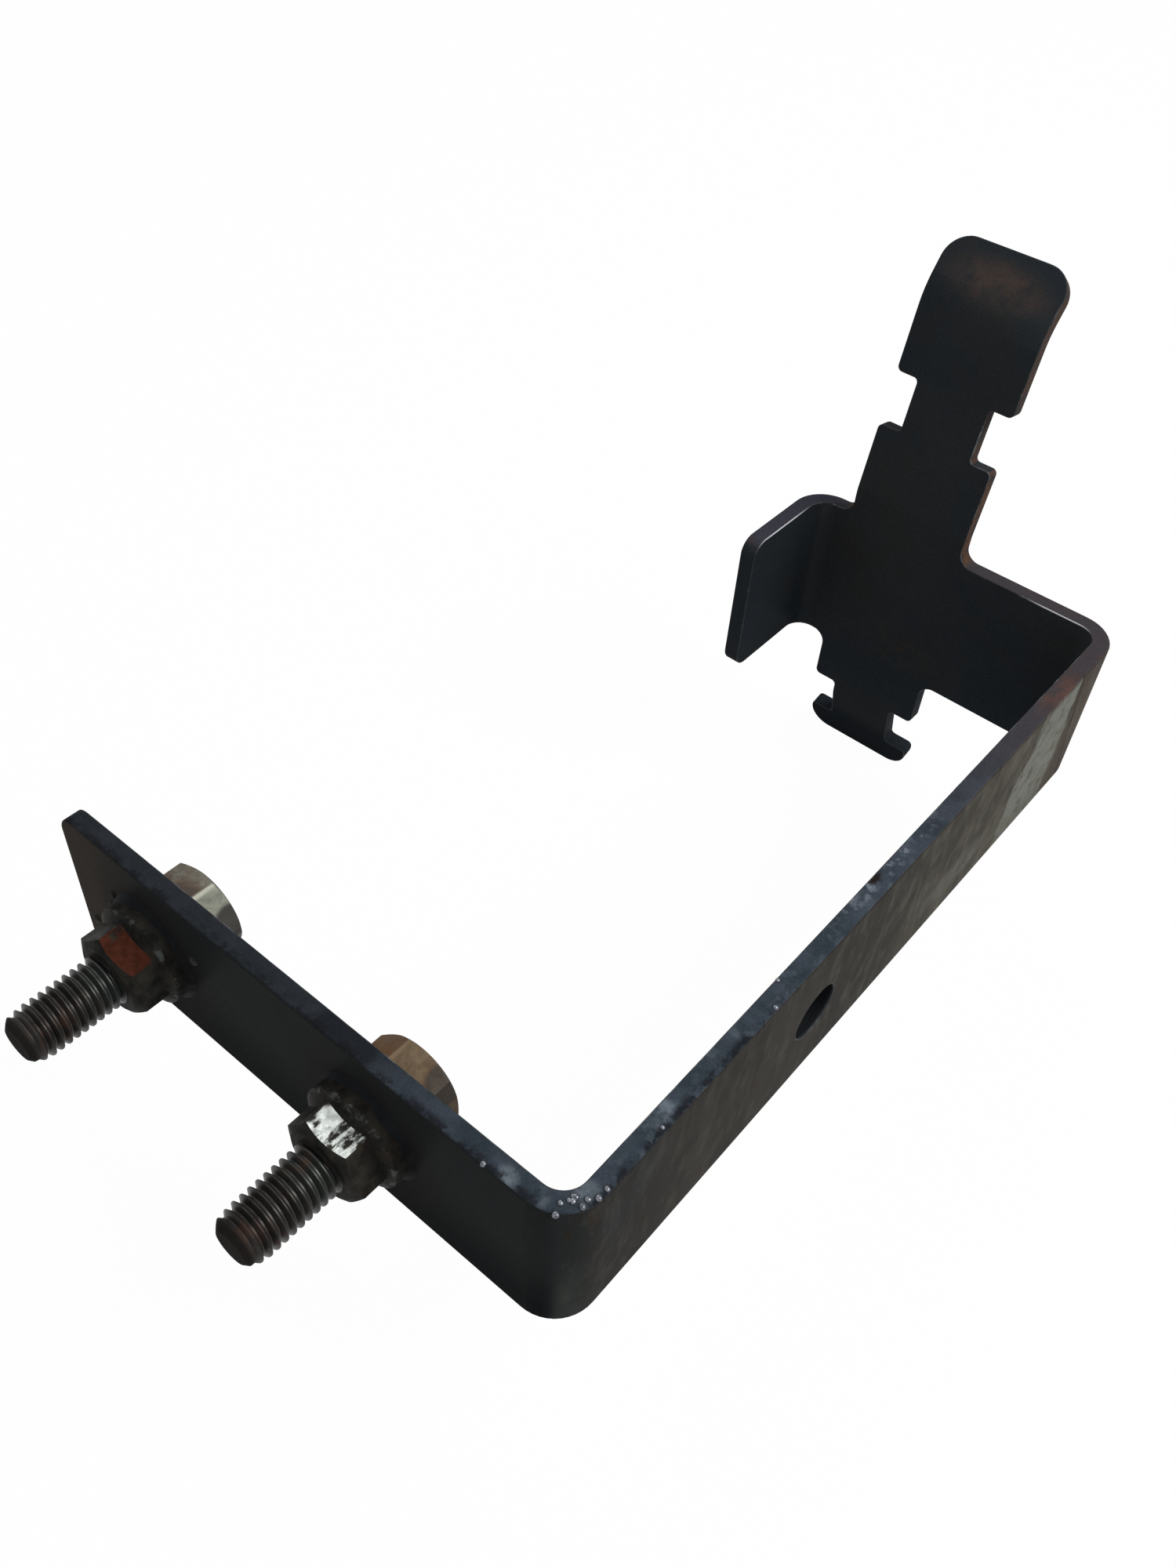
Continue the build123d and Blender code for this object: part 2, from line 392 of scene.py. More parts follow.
BURR_BLACK, BURR_GREY, BURR_GLINT = steel(30, 32, 35), steel(92, 93, 96), steel(176, 178, 184)

# Marks on the web's outside, as x at mid height, and how far x moves for each millimetre up
BAND_START, BAND_END = 55.3, 72.2
BROWN_LINE_FROM, BROWN_LINE_TO, BROWN_LINE_LEAN = 76.6, 77.6, -0.257
DARK_STREAK_FROM, DARK_STREAK_TO, DARK_STREAK_LEAN = 54.6, 56.2, 0.55

# Marks on the strip's upper edge, as x and y
SMEAR_PLACES = [(-52.0, 6.0), (-52.2, 10.0), (-36.0, 1.5), (-33.5, 2.0), (-47.5, 2.0)]


def web_outside(strip):
    """Colour of the web's outside: rubbed grey brown, with streaks, stains and one pale band."""
    x, z = strip.x, strip.z
    colour = strip.mix(strip.ramp(x, -46.0, -25.0), WEB_BY_BEND, WEB_MIDDLE)
    colour = strip.mix(strip.ramp(x, 5.0, 50.0), colour, WEB_REAR)
    low_bend = strip.all_of(strip.ramp(x, -45.0, -50.0), strip.ramp(z, 4.0, -8.0))
    colour = strip.paint(colour, low_bend, 0.7, BEND_GREEN)
    broad = strip.patches(size=9.0, cover=0.5, edge=0.1, seed=5.0, stretch=(1.0, 1.0, 0.6))
    colour = strip.paint(colour, broad, 0.6, WEB_SHADE)
    streaks = strip.patches(size=2.2, cover=0.44, edge=0.1, seed=6.0, stretch=(1.0, 1.0, 0.35))
    streaks = strip.all_of(streaks, strip.ramp(x, -30.0, 40.0, 0.35, 1.0))
    colour = strip.paint(colour, streaks, 0.4, WEB_STREAK)
    stains = strip.patches(size=3.2, cover=0.36, edge=0.06, seed=9.0, stretch=(0.8, 1.0, 0.5))
    colour = strip.paint(colour, stains, 0.6, WEB_STAIN)

    # The pale band, ragged at both ends and wider below
    rag = strip.patches(size=4.0, cover=0.5, edge=0.3, seed=8.0)
    start = strip.math("MULTIPLY_ADD", rag, 3.5, BAND_START)
    start = strip.math("ADD", start, strip.ramp(z, 1.0, 7.0, 0.0, 3.2))
    end = strip.math("MULTIPLY_ADD", rag, 2.5, BAND_END)
    past_start = strip.ramp(strip.math("SUBTRACT", x, start), -0.6, 1.0)
    before_end = strip.ramp(strip.math("SUBTRACT", end, x), -0.6, 0.8)
    band = strip.all_of(past_start, before_end, strip.ramp(z, -14.0, -3.0, 0.55, 1.0))
    worn = strip.patches(size=2.2, cover=0.6, edge=0.16, seed=12.0)
    colour = strip.paint(colour, strip.all_of(band, worn), 0.8, PALE_BAND)

    # Rust past the band's end, a brown line in it, and a dark streak before the band
    rusty = strip.patches(size=2.4, cover=0.56, edge=0.12, seed=14.0, stretch=(1.0, 1.0, 0.2))
    past_end = strip.ramp(strip.math("SUBTRACT", x, end), 0.0, 1.5)
    colour = strip.paint(colour, strip.all_of(rusty, past_end), 0.7, WEB_RUST)
    upright_x = strip.math("MULTIPLY_ADD", z, -BROWN_LINE_LEAN, x)
    line = strip.between(upright_x, BROWN_LINE_FROM, BROWN_LINE_TO, 0.4)
    line = strip.all_of(line, strip.ramp(rusty, 0.0, 1.0, 0.6, 1.0))
    colour = strip.paint(colour, line, 0.8, BROWN_LINE)
    upright_x = strip.math("MULTIPLY_ADD", z, -DARK_STREAK_LEAN, x)
    ragged = strip.patches(size=2.0, cover=0.5, edge=0.12, seed=15.0, stretch=(1.0, 1.0, 0.5))
    streak = strip.between(upright_x, DARK_STREAK_FROM, DARK_STREAK_TO, 0.7)
    streak = strip.all_of(streak, ragged)
    colour = strip.paint(colour, streak, 0.7, DARK_STREAK)

    # A brown line along the brink, a lighter place past the hole, and pits
    brink = strip.between(z, HALF_WIDTH - 0.55, HALF_WIDTH - 0.15, 0.15)
    colour = strip.paint(colour, strip.all_of(brink, strip.ramp(x, -30.0, 0.0)), 0.55, BRINK_BROWN)
    light = strip.spot(middle=(42.0, 0.0, -6.0), radius=8.0, stretch=(1.6, 1.0, 0.6))
    colour = strip.paint(colour, strip.all_of(light, worn), 0.5, WEB_LIGHT)
    pits = strip.patches(size=0.9, cover=0.27, edge=0.03, seed=16.0)
    return strip.paint(colour, pits, 0.75, WEB_PIT)


def cut_edge(strip):
    """Colour of the edges that look up: blue grey, browner to the rear, scuffed in the middle."""
    x, y = strip.x, strip.y
    mottle = strip.patches(size=4.0, cover=0.5, edge=0.16, seed=21.0)
    colour = strip.mix(mottle, EDGE_DARK, EDGE_BLUE)
    colour = strip.mix(strip.ramp(x, 15.0, 70.0), colour, EDGE_REAR)
    on_return = strip.all_of(strip.ramp(y, 48.0, 58.0), strip.ramp(x, 40.0, 60.0))
    colour = strip.paint(colour, on_return, 0.7, EDGE_RETURN)
    brown = strip.patches(size=3.0, cover=0.42, edge=0.08, seed=23.0)
    brown = strip.all_of(brown, strip.ramp(x, 45.0, 70.0))
    colour = strip.paint(colour, brown, 0.3, EDGE_BROWN)
    rust = strip.spot(middle=(66.5, 1.2, HALF_WIDTH), radius=3.0, stretch=(2.4, 0.8, 1.0))
    colour = strip.paint(colour, strip.all_of(rust, mottle), 0.75, EDGE_RUST)
    leg = strip.all_of(strip.ramp(x, -48.5, -50.0), strip.ramp(y, 8.0, 50.0))
    colour = strip.paint(colour, leg, 0.7, EDGE_LEG)
    stain = strip.spot(middle=(-51.6, 37.0, HALF_WIDTH), radius=3.6, stretch=(1.2, 1.8, 1.0))
    colour = strip.paint(colour, strip.ramp(stain, 0.0, 0.6), 0.85, EDGE_STAIN)

    # Scuffs and a pale blue painted sheen over the middle, smears by the front bend, and one nick
    scuffs = strip.patches(size=1.2, cover=0.42, edge=0.1, seed=2.0)
    inner_side = strip.all_of(strip.between(x, 6.0, 29.0, 5.0), strip.ramp(y, 0.3, 2.2))
    colour = strip.paint(colour, strip.all_of(scuffs, inner_side), 0.6, SCUFF)
    # Painted sheen: pale blue patches of painted highlight on the upper edges over the middle
    bloom = strip.patches(size=2.4, cover=0.4, edge=0.1, seed=25.0)
    bloom = strip.all_of(bloom, strip.between(x, -46.0, 30.0, 6.0))
    colour = strip.paint(colour, bloom, 0.35, EDGE_PAINTED_SHEEN)
    for place in SMEAR_PLACES:
        smear = strip.spot(middle=(*place, HALF_WIDTH), radius=2.0)
        colour = strip.paint(colour, strip.all_of(smear, mottle), 0.6, SMEAR)
    nick = strip.spot(middle=(14.2, 2.6, HALF_WIDTH), radius=1.3, stretch=(1.5, 0.8, 1.0))
    return strip.paint(colour, nick, 0.9, EDGE_NICK)


def leg_colour(strip, colour):
    """Colour with the front leg's outside added: browner by its free end, with painted shade
    below.
    """
    leg = strip.ramp(strip.x, -51.0, -52.5)
    colour = strip.paint(colour, leg, 0.85, LEG_BLACK)
    # Painted shade: the leg's outside darkens towards its lower edge, where less light reaches
    low = strip.all_of(leg, strip.ramp(strip.z, 4.0, -13.0))
    colour = strip.paint(colour, low, 0.9, LEG_LOW_PAINTED_SHADE)
    end = strip.all_of(strip.ramp(strip.y, 74.0, 90.0), leg)
    colour = strip.paint(colour, end, 0.85, LEG_END_BROWN)
    for from_web in BOLT_PLACES.values():
        heat = strip.spot(middle=(FRONT_X, from_web, 0.0), radius=15.0)
        blotches = strip.patches(size=4.0, cover=0.56, edge=0.14, seed=33.0)
        colour = strip.paint(colour, strip.all_of(heat, blotches, leg), 0.6, HEAT_BROWN)
    return colour


def tab_colour(strip, colour):
    """Colour with the tab's rust added, on its cut sides, under the tongue and over its tip."""
    z = strip.z
    side = strip.math(
        "MAXIMUM", strip.facing("Y", 1.0, 0.3, 0.6), strip.facing("Y", -1.0, 0.3, 0.6)
    )
    tongue = strip.ramp(z, HALF_WIDTH - 0.5, HALF_WIDTH + 1.0)
    tongue = strip.all_of(strip.ramp(strip.x, 80.0, 84.0), tongue)
    rust = strip.patches(size=3.0, cover=0.56, edge=0.1, seed=13.0)
    rust = strip.all_of(side, rust, strip.ramp(z, 18.0, 36.0, 1.0, 0.45), tongue)
    colour = strip.paint(colour, rust, 0.8, TAB_RUST)
    tip = strip.spot(middle=(98.0, 40.0, 57.5), radius=12.0, stretch=(1.0, 1.0, 0.35))
    thin = strip.patches(size=3.4, cover=0.58, edge=0.2, seed=17.0)
    colour = strip.paint(colour, strip.all_of(thin, tip), 0.5, TIP_RUST)
    stain = strip.spot(middle=(85.0, 38.0, -9.0), radius=9.0, stretch=(1.0, 1.3, 0.6))
    stain = strip.all_of(stain, strip.patches(size=3.0, cover=0.45, edge=0.12, seed=19.0))
    colour = strip.paint(colour, stain, 0.4, TAB_STAIN)
    return strip.paint(colour, strip.ramp(z, -29.0, -33.0), 0.6, FOOT_BLACK)


def strip_finish():
    """Blackened strip steel: dull faces, greyer cut edges, a worn web and rust on the tab."""
    strip = Finish("blackened strip")
    x, y, z = strip.x, strip.y, strip.z
    fading = strip.patches(size=26.0, cover=0.5, edge=0.2, seed=3.0)
    colour = strip.mix(fading, BLUE_BLACK, FADED_BLACK)
    brown = strip.patches(size=9.0, cover=0.4, edge=0.16, seed=11.0)
    colour = strip.paint(colour, brown, 0.35, COAT_BROWN)
    freckles = strip.patches(size=1.1, cover=0.29, edge=0.04, seed=31.0)
    colour = strip.paint(colour, freckles, 0.35, COAT_FRECKLE)
    # Painted shade on the return's inner face, inside the U
    return_shade = strip.all_of(strip.facing("Y", -1.0), strip.ramp(y, 50.0, 56.0))
    colour = strip.paint(colour, return_shade, 0.6, RETURN_PAINTED_SHADE)
    colour = leg_colour(strip, colour)

    outside = strip.all_of(strip.facing("Y", -1.0, 0.3, 0.75), strip.ramp(y, 3.0, 1.6))
    colour = strip.mix(outside, colour, web_outside(strip))
    risen = strip.ramp(z, HALF_WIDTH - 1.0, HALF_WIDTH - 0.5)
    under_tongue = strip.ramp(z, HALF_WIDTH + 0.6, HALF_WIDTH + 0.3)
    cut = strip.all_of(strip.facing("Z"), risen, under_tongue)
    colour = strip.mix(cut, colour, cut_edge(strip))

    # The dark coat laps raggedly over the outline of the cut edge by the front bend
    lap = strip.patches(size=2.0, cover=0.5, edge=0.06, seed=27.0)
    from_outline = strip.math("MINIMUM", strip.math("SUBTRACT", x, FRONT_X), y)
    lap = strip.all_of(lap, strip.ramp(from_outline, 1.6, 0.5), cut, strip.ramp(x, 0.0, -20.0))
    colour = strip.paint(colour, lap, 0.85, LAP_BLACK)
    colour = tab_colour(strip, colour)

    # Painted shade darkens the wall of the web's hole
    squares = strip.math("ADD", strip.math("MULTIPLY", x, x), strip.math("MULTIPLY", z, z))
    near_hole = strip.ramp(
        strip.math("SQRT", squares), WEB_HOLE_RADIUS + 0.25, WEB_HOLE_RADIUS + 0.1
    )
    hole_shade = strip.all_of(near_hole, strip.ramp(y, 0.1, 0.5))
    colour = strip.paint(colour, hole_shade, 0.85, HOLE_PAINTED_SHADE)

    speckle = strip.fine_grain(colour, size=0.3, contrast=0.9, depth=0.06)
    rough = strip.math("MULTIPLY_ADD", speckle, 0.16, 0.3)
    strip.surface(Roughness=rough, Specular_IOR_Level=0.002)
    return strip.material


def worn_edge_finish():
    """Burr where the black coat is rubbed through to grey steel in places, with two painted
    glints.
    """
    burr = Finish("worn edge")
    rub = burr.patches(size=3.2, cover=0.42, edge=0.1, seed=7.0)
    rub = burr.all_of(rub, burr.ramp(burr.z, -12.0, 13.0, 0.1, 1.0))
    colour = burr.mix(rub, BURR_BLACK, BURR_GREY)
    # Painted glints: two spots of painted highlight on the inner top edges of the return and rear
    # leg
    glint = burr.math(
        "MAXIMUM",
        burr.spot(middle=(73.0, 58.0, HALF_WIDTH), radius=6.0, stretch=(1.6, 0.3, 0.3)),
        burr.spot(middle=(85.0, 10.0, HALF_WIDTH), radius=6.0, stretch=(0.3, 1.2, 0.3)),
    )
    burr.surface(
        Base_Color=burr.paint(colour, glint, 0.8, BURR_GLINT),
        Metallic=burr.math("MULTIPLY", rub, 0.6),
        Roughness=burr.blend(rub, 0.5, 0.34),
        Specular_IOR_Level=0.12,
    )
    return burr.material


# ---------------------------------------------------------------- bolt and nut finishes
THREAD_DARK, THREAD_GREY, THREAD_BLOOM = steel(38, 37, 36), steel(54, 52, 50), steel(58, 64, 61)
THREAD_RUST, THREAD_END = steel(60, 40, 31), steel(21, 19, 18)

ZINC, TAN = steel(118, 119, 108), steel(90, 76, 58)
ZINC_CORNER, TAN_CORNER = steel(37, 34, 32), steel(53, 48, 43)
BEVEL_BROWN, HEAD_SPECK = steel(58, 53, 48), steel(60, 58, 48)
HEAD_RUST_X = (-43.5, -46.5)  # a flat's rust thins out between these towards the head's face
ZINC_RUSTS = [
    {"flat": None, "colour": steel(72, 66, 58), "cover": 0.36, "strength": 0.7},
    {"flat": 80.0, "colour": steel(84, 64, 51), "cover": 0.62, "strength": 0.85},
    {"flat": 80.0, "colour": steel(62, 56, 51), "cover": 0.5, "strength": 0.8},
    {"flat": 200.0, "colour": steel(56, 52, 48), "cover": 0.8, "strength": 0.8},
]
TAN_RUSTS = [
    {"flat": None, "colour": steel(76, 58, 42), "cover": 0.45, "strength": 0.6},
    {"flat": 50.0, "colour": steel(94, 66, 43), "cover": 0.7, "strength": 0.85},
    {"flat": 170.0, "colour": steel(50, 44, 38), "cover": 0.8, "strength": 0.7},
]

NUT_DARK, NUT_GREY, NUT_BROWN = steel(24, 24, 23), steel(45, 44, 40), steel(42, 33, 27)
RIM_SCUFF, NUT_SPECK, NUT_SCRAPE = steel(88, 91, 90), steel(104, 106, 102), steel(74, 78, 75)
NUT_RUST, NUT_BRIGHT = steel(64, 33, 23), steel(214, 219, 215)

# The first colour on the next line is the weld metal's tone and also painted shadow round each
# flange
WELD_BLACK_AND_SHADOW, WELD_BROWN, LUMP_DARK = steel(14, 14, 15), steel(27, 26, 25), steel(44, 43, 40)
# The second colour on the next line is a painted sheen for the upper side of weld metal and lumps
LUMP_LIGHT, PAINTED_SHEEN_BLUE, WELD_SPECK = steel(70, 68, 63), steel(35, 38, 42), steel(58, 56, 52)
BEAD_DARK, BEAD_LIGHT = steel(60, 64, 70), steel(120, 124, 130)


def thread_finish():
    """Dark oily thread with a green-grey bloom near the nut, rust in patches and a dark end."""
    thread = Finish("oiled thread")
    mottle = thread.patches(size=3.0, cover=0.5, edge=0.15, seed=4.0)
    colour = thread.mix(mottle, THREAD_DARK, THREAD_GREY)
    colour = thread.paint(colour, thread.ramp(thread.x, -68.0, -63.0), 0.5, THREAD_BLOOM)
    rust = thread.patches(size=3.5, cover=0.42, edge=0.08, seed=9.0)
    colour = thread.paint(colour, rust, 0.6, THREAD_RUST)
    end = thread.ramp(thread.x, -73.2, -74.6)
    colour = thread.paint(colour, end, 0.85, THREAD_END)
    speckle = thread.fine_grain(colour, size=0.18, contrast=0.6, depth=0.05)
    unrusted = thread.math("SUBTRACT", 1.0, rust)
    bare = thread.all_of(unrusted, thread.math("SUBTRACT", 1.0, end))
    oiled = thread.math("MULTIPLY_ADD", speckle, 0.3, 0.2)
    thread.surface(
        Metallic=thread.math("MULTIPLY", bare, 0.5),
        Roughness=thread.blend(end, oiled, 0.9),
        Specular_IOR_Level=0.05,
    )
    return thread.material


def head_finish(name, plate, rusts, brown_corner, corner_brown, highlight_corner, seed):
    """Dull plated bolt head, with rust all over or on one flat, a brown corner and a painted
    highlight.
    """
    head = Finish(name)
    mottle = head.patches(size=1.6, cover=0.5, edge=0.2, seed=seed)
    colour = head.mix(mottle, shade(plate, 0.62), plate)
    rusted = 0.0
    for number, rust in enumerate(rusts, start=1):
        mask = head.patches(size=3.0, cover=rust["cover"], edge=0.12, seed=seed + number)
        if rust["flat"] is not None:
            fading = head.ramp(head.x, *HEAD_RUST_X, 0.5, 1.0)
            mask = head.all_of(mask, head.on_flat(rust["flat"]), fading)
        colour = head.paint(colour, mask, rust["strength"], rust["colour"])
        rusted = head.math("MAXIMUM", rusted, mask)
    worn = head.patches(size=1.4, cover=0.78, edge=0.1, seed=seed + 6.0)
    bevel = head.all_of(head.facing("X", 1.0, 0.2, 0.4), worn)
    colour = head.paint(colour, bevel, 0.85, BEVEL_BROWN)
    # Painted highlight: a lighter copy of the plating along a corner edge that faces up
    pale = head.spot(middle=highlight_corner, radius=1.6, stretch=(3.2, 0.4, 0.4))
    colour = head.paint(colour, pale, 0.75, shade(plate, 1.35))
    brown = head.ramp(head.spot(middle=brown_corner, radius=4.2), 0.1, 0.5)
    colour = head.paint(colour, brown, 0.9, corner_brown)
    specks = head.patches(size=0.8, cover=0.3, edge=0.05, seed=seed + 7.0)
    colour = head.paint(colour, specks, 0.5, HEAD_SPECK)
    rusted = head.math("MAXIMUM", rusted, bevel)
    head.fine_grain(colour, size=0.25, contrast=0.7, depth=0.06)
    head.surface(
        Metallic=head.blend(rusted, 0.3, 0.0),
        Roughness=head.blend(rusted, 0.5, 0.8),
        Specular_IOR_Level=0.12,
    )
    return head.material


def nut_finish(name, from_web, flat, flat_colour, cover, metal, seed):
    """Dark flanged nut with one flat that is rusted or scraped bright, and a scuffed rim."""
    nut = Finish(name)
    mottle = nut.patches(size=2.4, cover=0.5, edge=0.15, seed=seed)
    colour = nut.mix(mottle, NUT_DARK, NUT_GREY)
    brown = nut.patches(size=4.0, cover=0.4, edge=0.1, seed=seed + 1.0)
    colour = nut.paint(colour, brown, 0.5, NUT_BROWN)

    across = nut.math("SUBTRACT", nut.y, from_web)
    squares = nut.math("MULTIPLY", across, across)
    squares = nut.math("ADD", squares, nut.math("MULTIPLY", nut.z, nut.z))
    radius = nut.math("SQRT", squares)
    rim = nut.all_of(
        nut.between(radius, FLANGE_RADIUS - 0.55, FLANGE_RADIUS + 0.3, 0.15),
        nut.between(nut.x, FLANGE_RIM_X - 0.6, FLANGE_RIM_X + 0.4, 0.15),
    )
    scuffs = nut.patches(size=1.5, cover=0.45, edge=0.06, seed=seed + 3.0)
    colour = nut.paint(colour, nut.all_of(rim, scuffs), 0.6, RIM_SCUFF)
    specks = nut.patches(size=0.7, cover=0.27, edge=0.03, seed=seed + 4.0)
    colour = nut.paint(colour, specks, 0.6, NUT_SPECK)

    # The marked flat, with its ragged patch kept off the flange and the flat's far corners
    patch = nut.patches(
        size=1.6, cover=cover, edge=0.05, seed=seed + 2.0, stretch=(0.45, 1.0, 1.0)
    )
    aim = math.radians(flat)
    to_flat = (NUT_FLAT_RADIUS * math.cos(aim), NUT_FLAT_RADIUS * math.sin(aim))
    middle = (NUT_FLAT_X, from_web + to_flat[0], to_flat[1])
    near = nut.ramp(nut.spot(middle=middle, radius=4.4, stretch=(0.8, 1.1, 1.1)), 0.0, 0.3)
    off_flange = nut.ramp(radius, FLANGE_RADIUS - 0.7, FLANGE_RADIUS - 0.85)
    patch = nut.all_of(patch, nut.on_flat(flat), near, off_flange)
    scrapes = nut.patches(size=2.0, cover=0.45, edge=0.08, seed=seed + 6.0)
    scrapes = nut.all_of(scrapes, nut.on_flat(flat - 60.0))
    colour = nut.paint(colour, scrapes, 0.5, NUT_SCRAPE)
    shading = nut.patches(size=1.2, cover=0.5, edge=0.16, seed=seed + 5.0)
    colour = nut.mix(patch, colour, nut.mix(shading, shade(flat_colour, 0.55), flat_colour))
    speckle = nut.fine_grain(colour, size=0.25, contrast=0.7, depth=0.1)
    nut.surface(
        Metallic=nut.math("MULTIPLY", patch, metal),
        Roughness=nut.math("MULTIPLY_ADD", speckle, 0.3, 0.4),
        Specular_IOR_Level=0.02,
    )
    return nut.material


def weld_finish(name, dark, light):
    """Weld metal mottled between two tones, with a painted bluish sheen on its upper side, and
    finely specked.
    """
    weld = Finish(name)
    mottle = weld.patches(size=1.8, cover=0.5, edge=0.12, seed=70.0)
    colour = weld.mix(mottle, dark, light)
    # Painted sheen: a bluish painted highlight over the upper side, where the light falls
    colour = weld.paint(colour, weld.ramp(weld.z, 0.0, 7.0), 0.5, PAINTED_SHEEN_BLUE)
    specks = weld.patches(size=1.2, cover=0.25, edge=0.05, seed=71.0)
    colour = weld.paint(colour, specks, 0.4, WELD_SPECK)
    speckle = weld.fine_grain(colour, size=0.25, contrast=0.7, depth=0.12)
    rough = weld.math("MULTIPLY_ADD", speckle, 0.3, 0.45)
    weld.surface(Roughness=rough, Specular_IOR_Level=0.02)
    return weld.material


def bead_finish():
    """Small glossy drops of weld spatter, mottled grey and patchily rough."""
    bead = Finish("bright bead")
    mottle = bead.patches(size=0.5, cover=0.5, edge=0.2, seed=80.0)
    dulled = bead.patches(size=0.4, cover=0.5, edge=0.2, seed=81.0)
    bead.surface(
        Base_Color=bead.mix(mottle, BEAD_DARK, BEAD_LIGHT),
        Roughness=bead.blend(dulled, 0.12, 0.25),
        Metallic=0.7,
    )
    return bead.material


def floor_finish():
    """Plain pale floor, white to the camera but still darkened by shadows."""
    material = bpy.data.materials.new("pale floor")
    material.use_nodes = True
    tree = Tree(material.node_tree)
    shader = tree.node_tree.nodes["Principled BSDF"]
    matt = {"Base Color": grey(0.6), "Roughness": 0.9, "Specular IOR Level": 0.0}
    for name, value in matt.items():
        shader.inputs[name].default_value = value
    glow = tree.add("ShaderNodeEmission", {"Color": grey(1.0), "Strength": 1.0})
    seen = tree.math("MULTIPLY", tree.seen_directly(), FLOOR_GLOW)
    both = tree.add("ShaderNodeMixShader", {0: seen, 1: shader.outputs[0], 2: glow.outputs[0]})
    tree.feed(tree.node_tree.nodes["Material Output"].inputs["Surface"], both.outputs[0])
    return material


# ---------------------------------------------------------------- mesh helpers
def add_object(name, data):
    """Object linked to the scene, at the origin."""
    item = bpy.data.objects.new(name, data)
    bpy.context.scene.collection.objects.link(item)
    return item


def mesh_of_points(name, points, faces=()):
    """Mesh from points in millimetres."""
    mesh = bpy.data.meshes.new(name)
    mesh.from_pydata([Vector(point) * MM for point in points], [], faces)
    return mesh


def ring_faces(around, rows, closed, seam_row=lambda row: row):
    """Faces between the columns of a ring, each column of rows joined to the one after it.

    Closed joins each column's last row to its first. The last column joins the first one at
    the rows that seam_row gives.
    """
    faces = []
    for step in range(around):
        here, after = step * rows, (step + 1) % around * rows
        for row in range(rows if closed else rows - 1):
            below = (row + 1) % rows
            beside, beside_below = row, below
            if after == 0:
                beside, beside_below = seam_row(row), seam_row(below)
            faces.append((here + row, here + below, after + beside_below, after + beside))
    return faces


def finish_solid(piece, sharp_degrees):
    """Merge doubled points, drop faces with no area, point normals out and smooth soft edges."""
    solid = bmesh.new()
    solid.from_mesh(piece.data)
    bmesh.ops.remove_doubles(solid, verts=solid.verts, dist=DOUBLED_POINTS)
    bmesh.ops.dissolve_degenerate(solid, edges=solid.edges, dist=DOUBLED_POINTS)
    bmesh.ops.recalc_face_normals(solid, faces=solid.faces)
    solid.to_mesh(piece.data)
    solid.free()
    piece.data.set_sharp_from_angle(angle=math.radians(sharp_degrees))
    for polygon in piece.data.polygons:
        polygon.use_smooth = True


def give_finishes(piece, finishes):
    """Put finishes in a piece's material slots, in the place of any there."""
    piece.data.materials.clear()
    for finish in finishes:
        piece.data.materials.append(finish)


def put_burr_on(node):
    """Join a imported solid's loose triangles, make its flat faces whole, and burr its edges."""
    join = node.modifiers.new("Join faces", "WELD")
    join.merge_threshold = JOIN_WITHIN * MM
    flatten = node.modifiers.new("Flat faces whole", "DECIMATE")
    flatten.decimate_type = "DISSOLVE"
    flatten.angle_limit = math.radians(FLAT_WITHIN)
    burr = node.modifiers.new("Burr edge", "BEVEL")
    burr.width = BURR_WIDTH * MM
    burr.segments = 2
    burr.limit_method = "ANGLE"
    burr.angle_limit = math.radians(BURR_FROM)
    burr.material = 1


# ---------------------------------------------------------------- bolts
def head_outline(angle):
    """Radius of the hexagon head at an angle in radians."""
    sixth = math.radians(60.0)
    from_flat = (angle % sixth) - sixth / 2.0
    return HEAD_ACROSS_FLATS / 2.0 / math.cos(from_flat)


def head_section(angle):
    """Points of the head at an angle, as radius and height, from its face to under it."""
    face, washer_face = HEAD_FACE_DIAMETER / 2.0, WASHER_FACE_DIAMETER / 2.0
    corner = head_outline(angle)
    bevel = (corner - face) * math.tan(math.radians(HEAD_BEVEL))
    return [
        (0.0, HEAD_HEIGHT),
        (face, HEAD_HEIGHT),
        (corner, HEAD_HEIGHT - bevel),
        (corner, WASHER_FACE_HEIGHT),
        (washer_face, WASHER_FACE_HEIGHT),
        (washer_face, 0.0),
        (THREAD_RADIUS, 0.0),
    ]


def thread_section(share):
    """Points of the thread after a share of one turn, as radius and height, from head to tip."""
    points = []
    for turn in range(THREAD_TURNS):
        for stop, radius in THREAD_PROFILE:
            depth = turn * THREAD_PITCH + stop - THREAD_PITCH * (1.0 - share)
            if depth < THREAD_SEEN_FROM:
                radius = THREAD_RADIUS
            depth = min(max(depth, CLEAR_OF_HEAD), BOLT_LENGTH)
            tip = THREAD_RADIUS - max(0.0, depth - (BOLT_LENGTH - TIP_CHAMFER))
            tip -= TIP_TAPER * max(0.0, depth - (BOLT_LENGTH - TIP_TAPER_LENGTH))
            points.append((min(radius, tip), -depth))
    points.append((0.0, -BOLT_LENGTH))
    return points


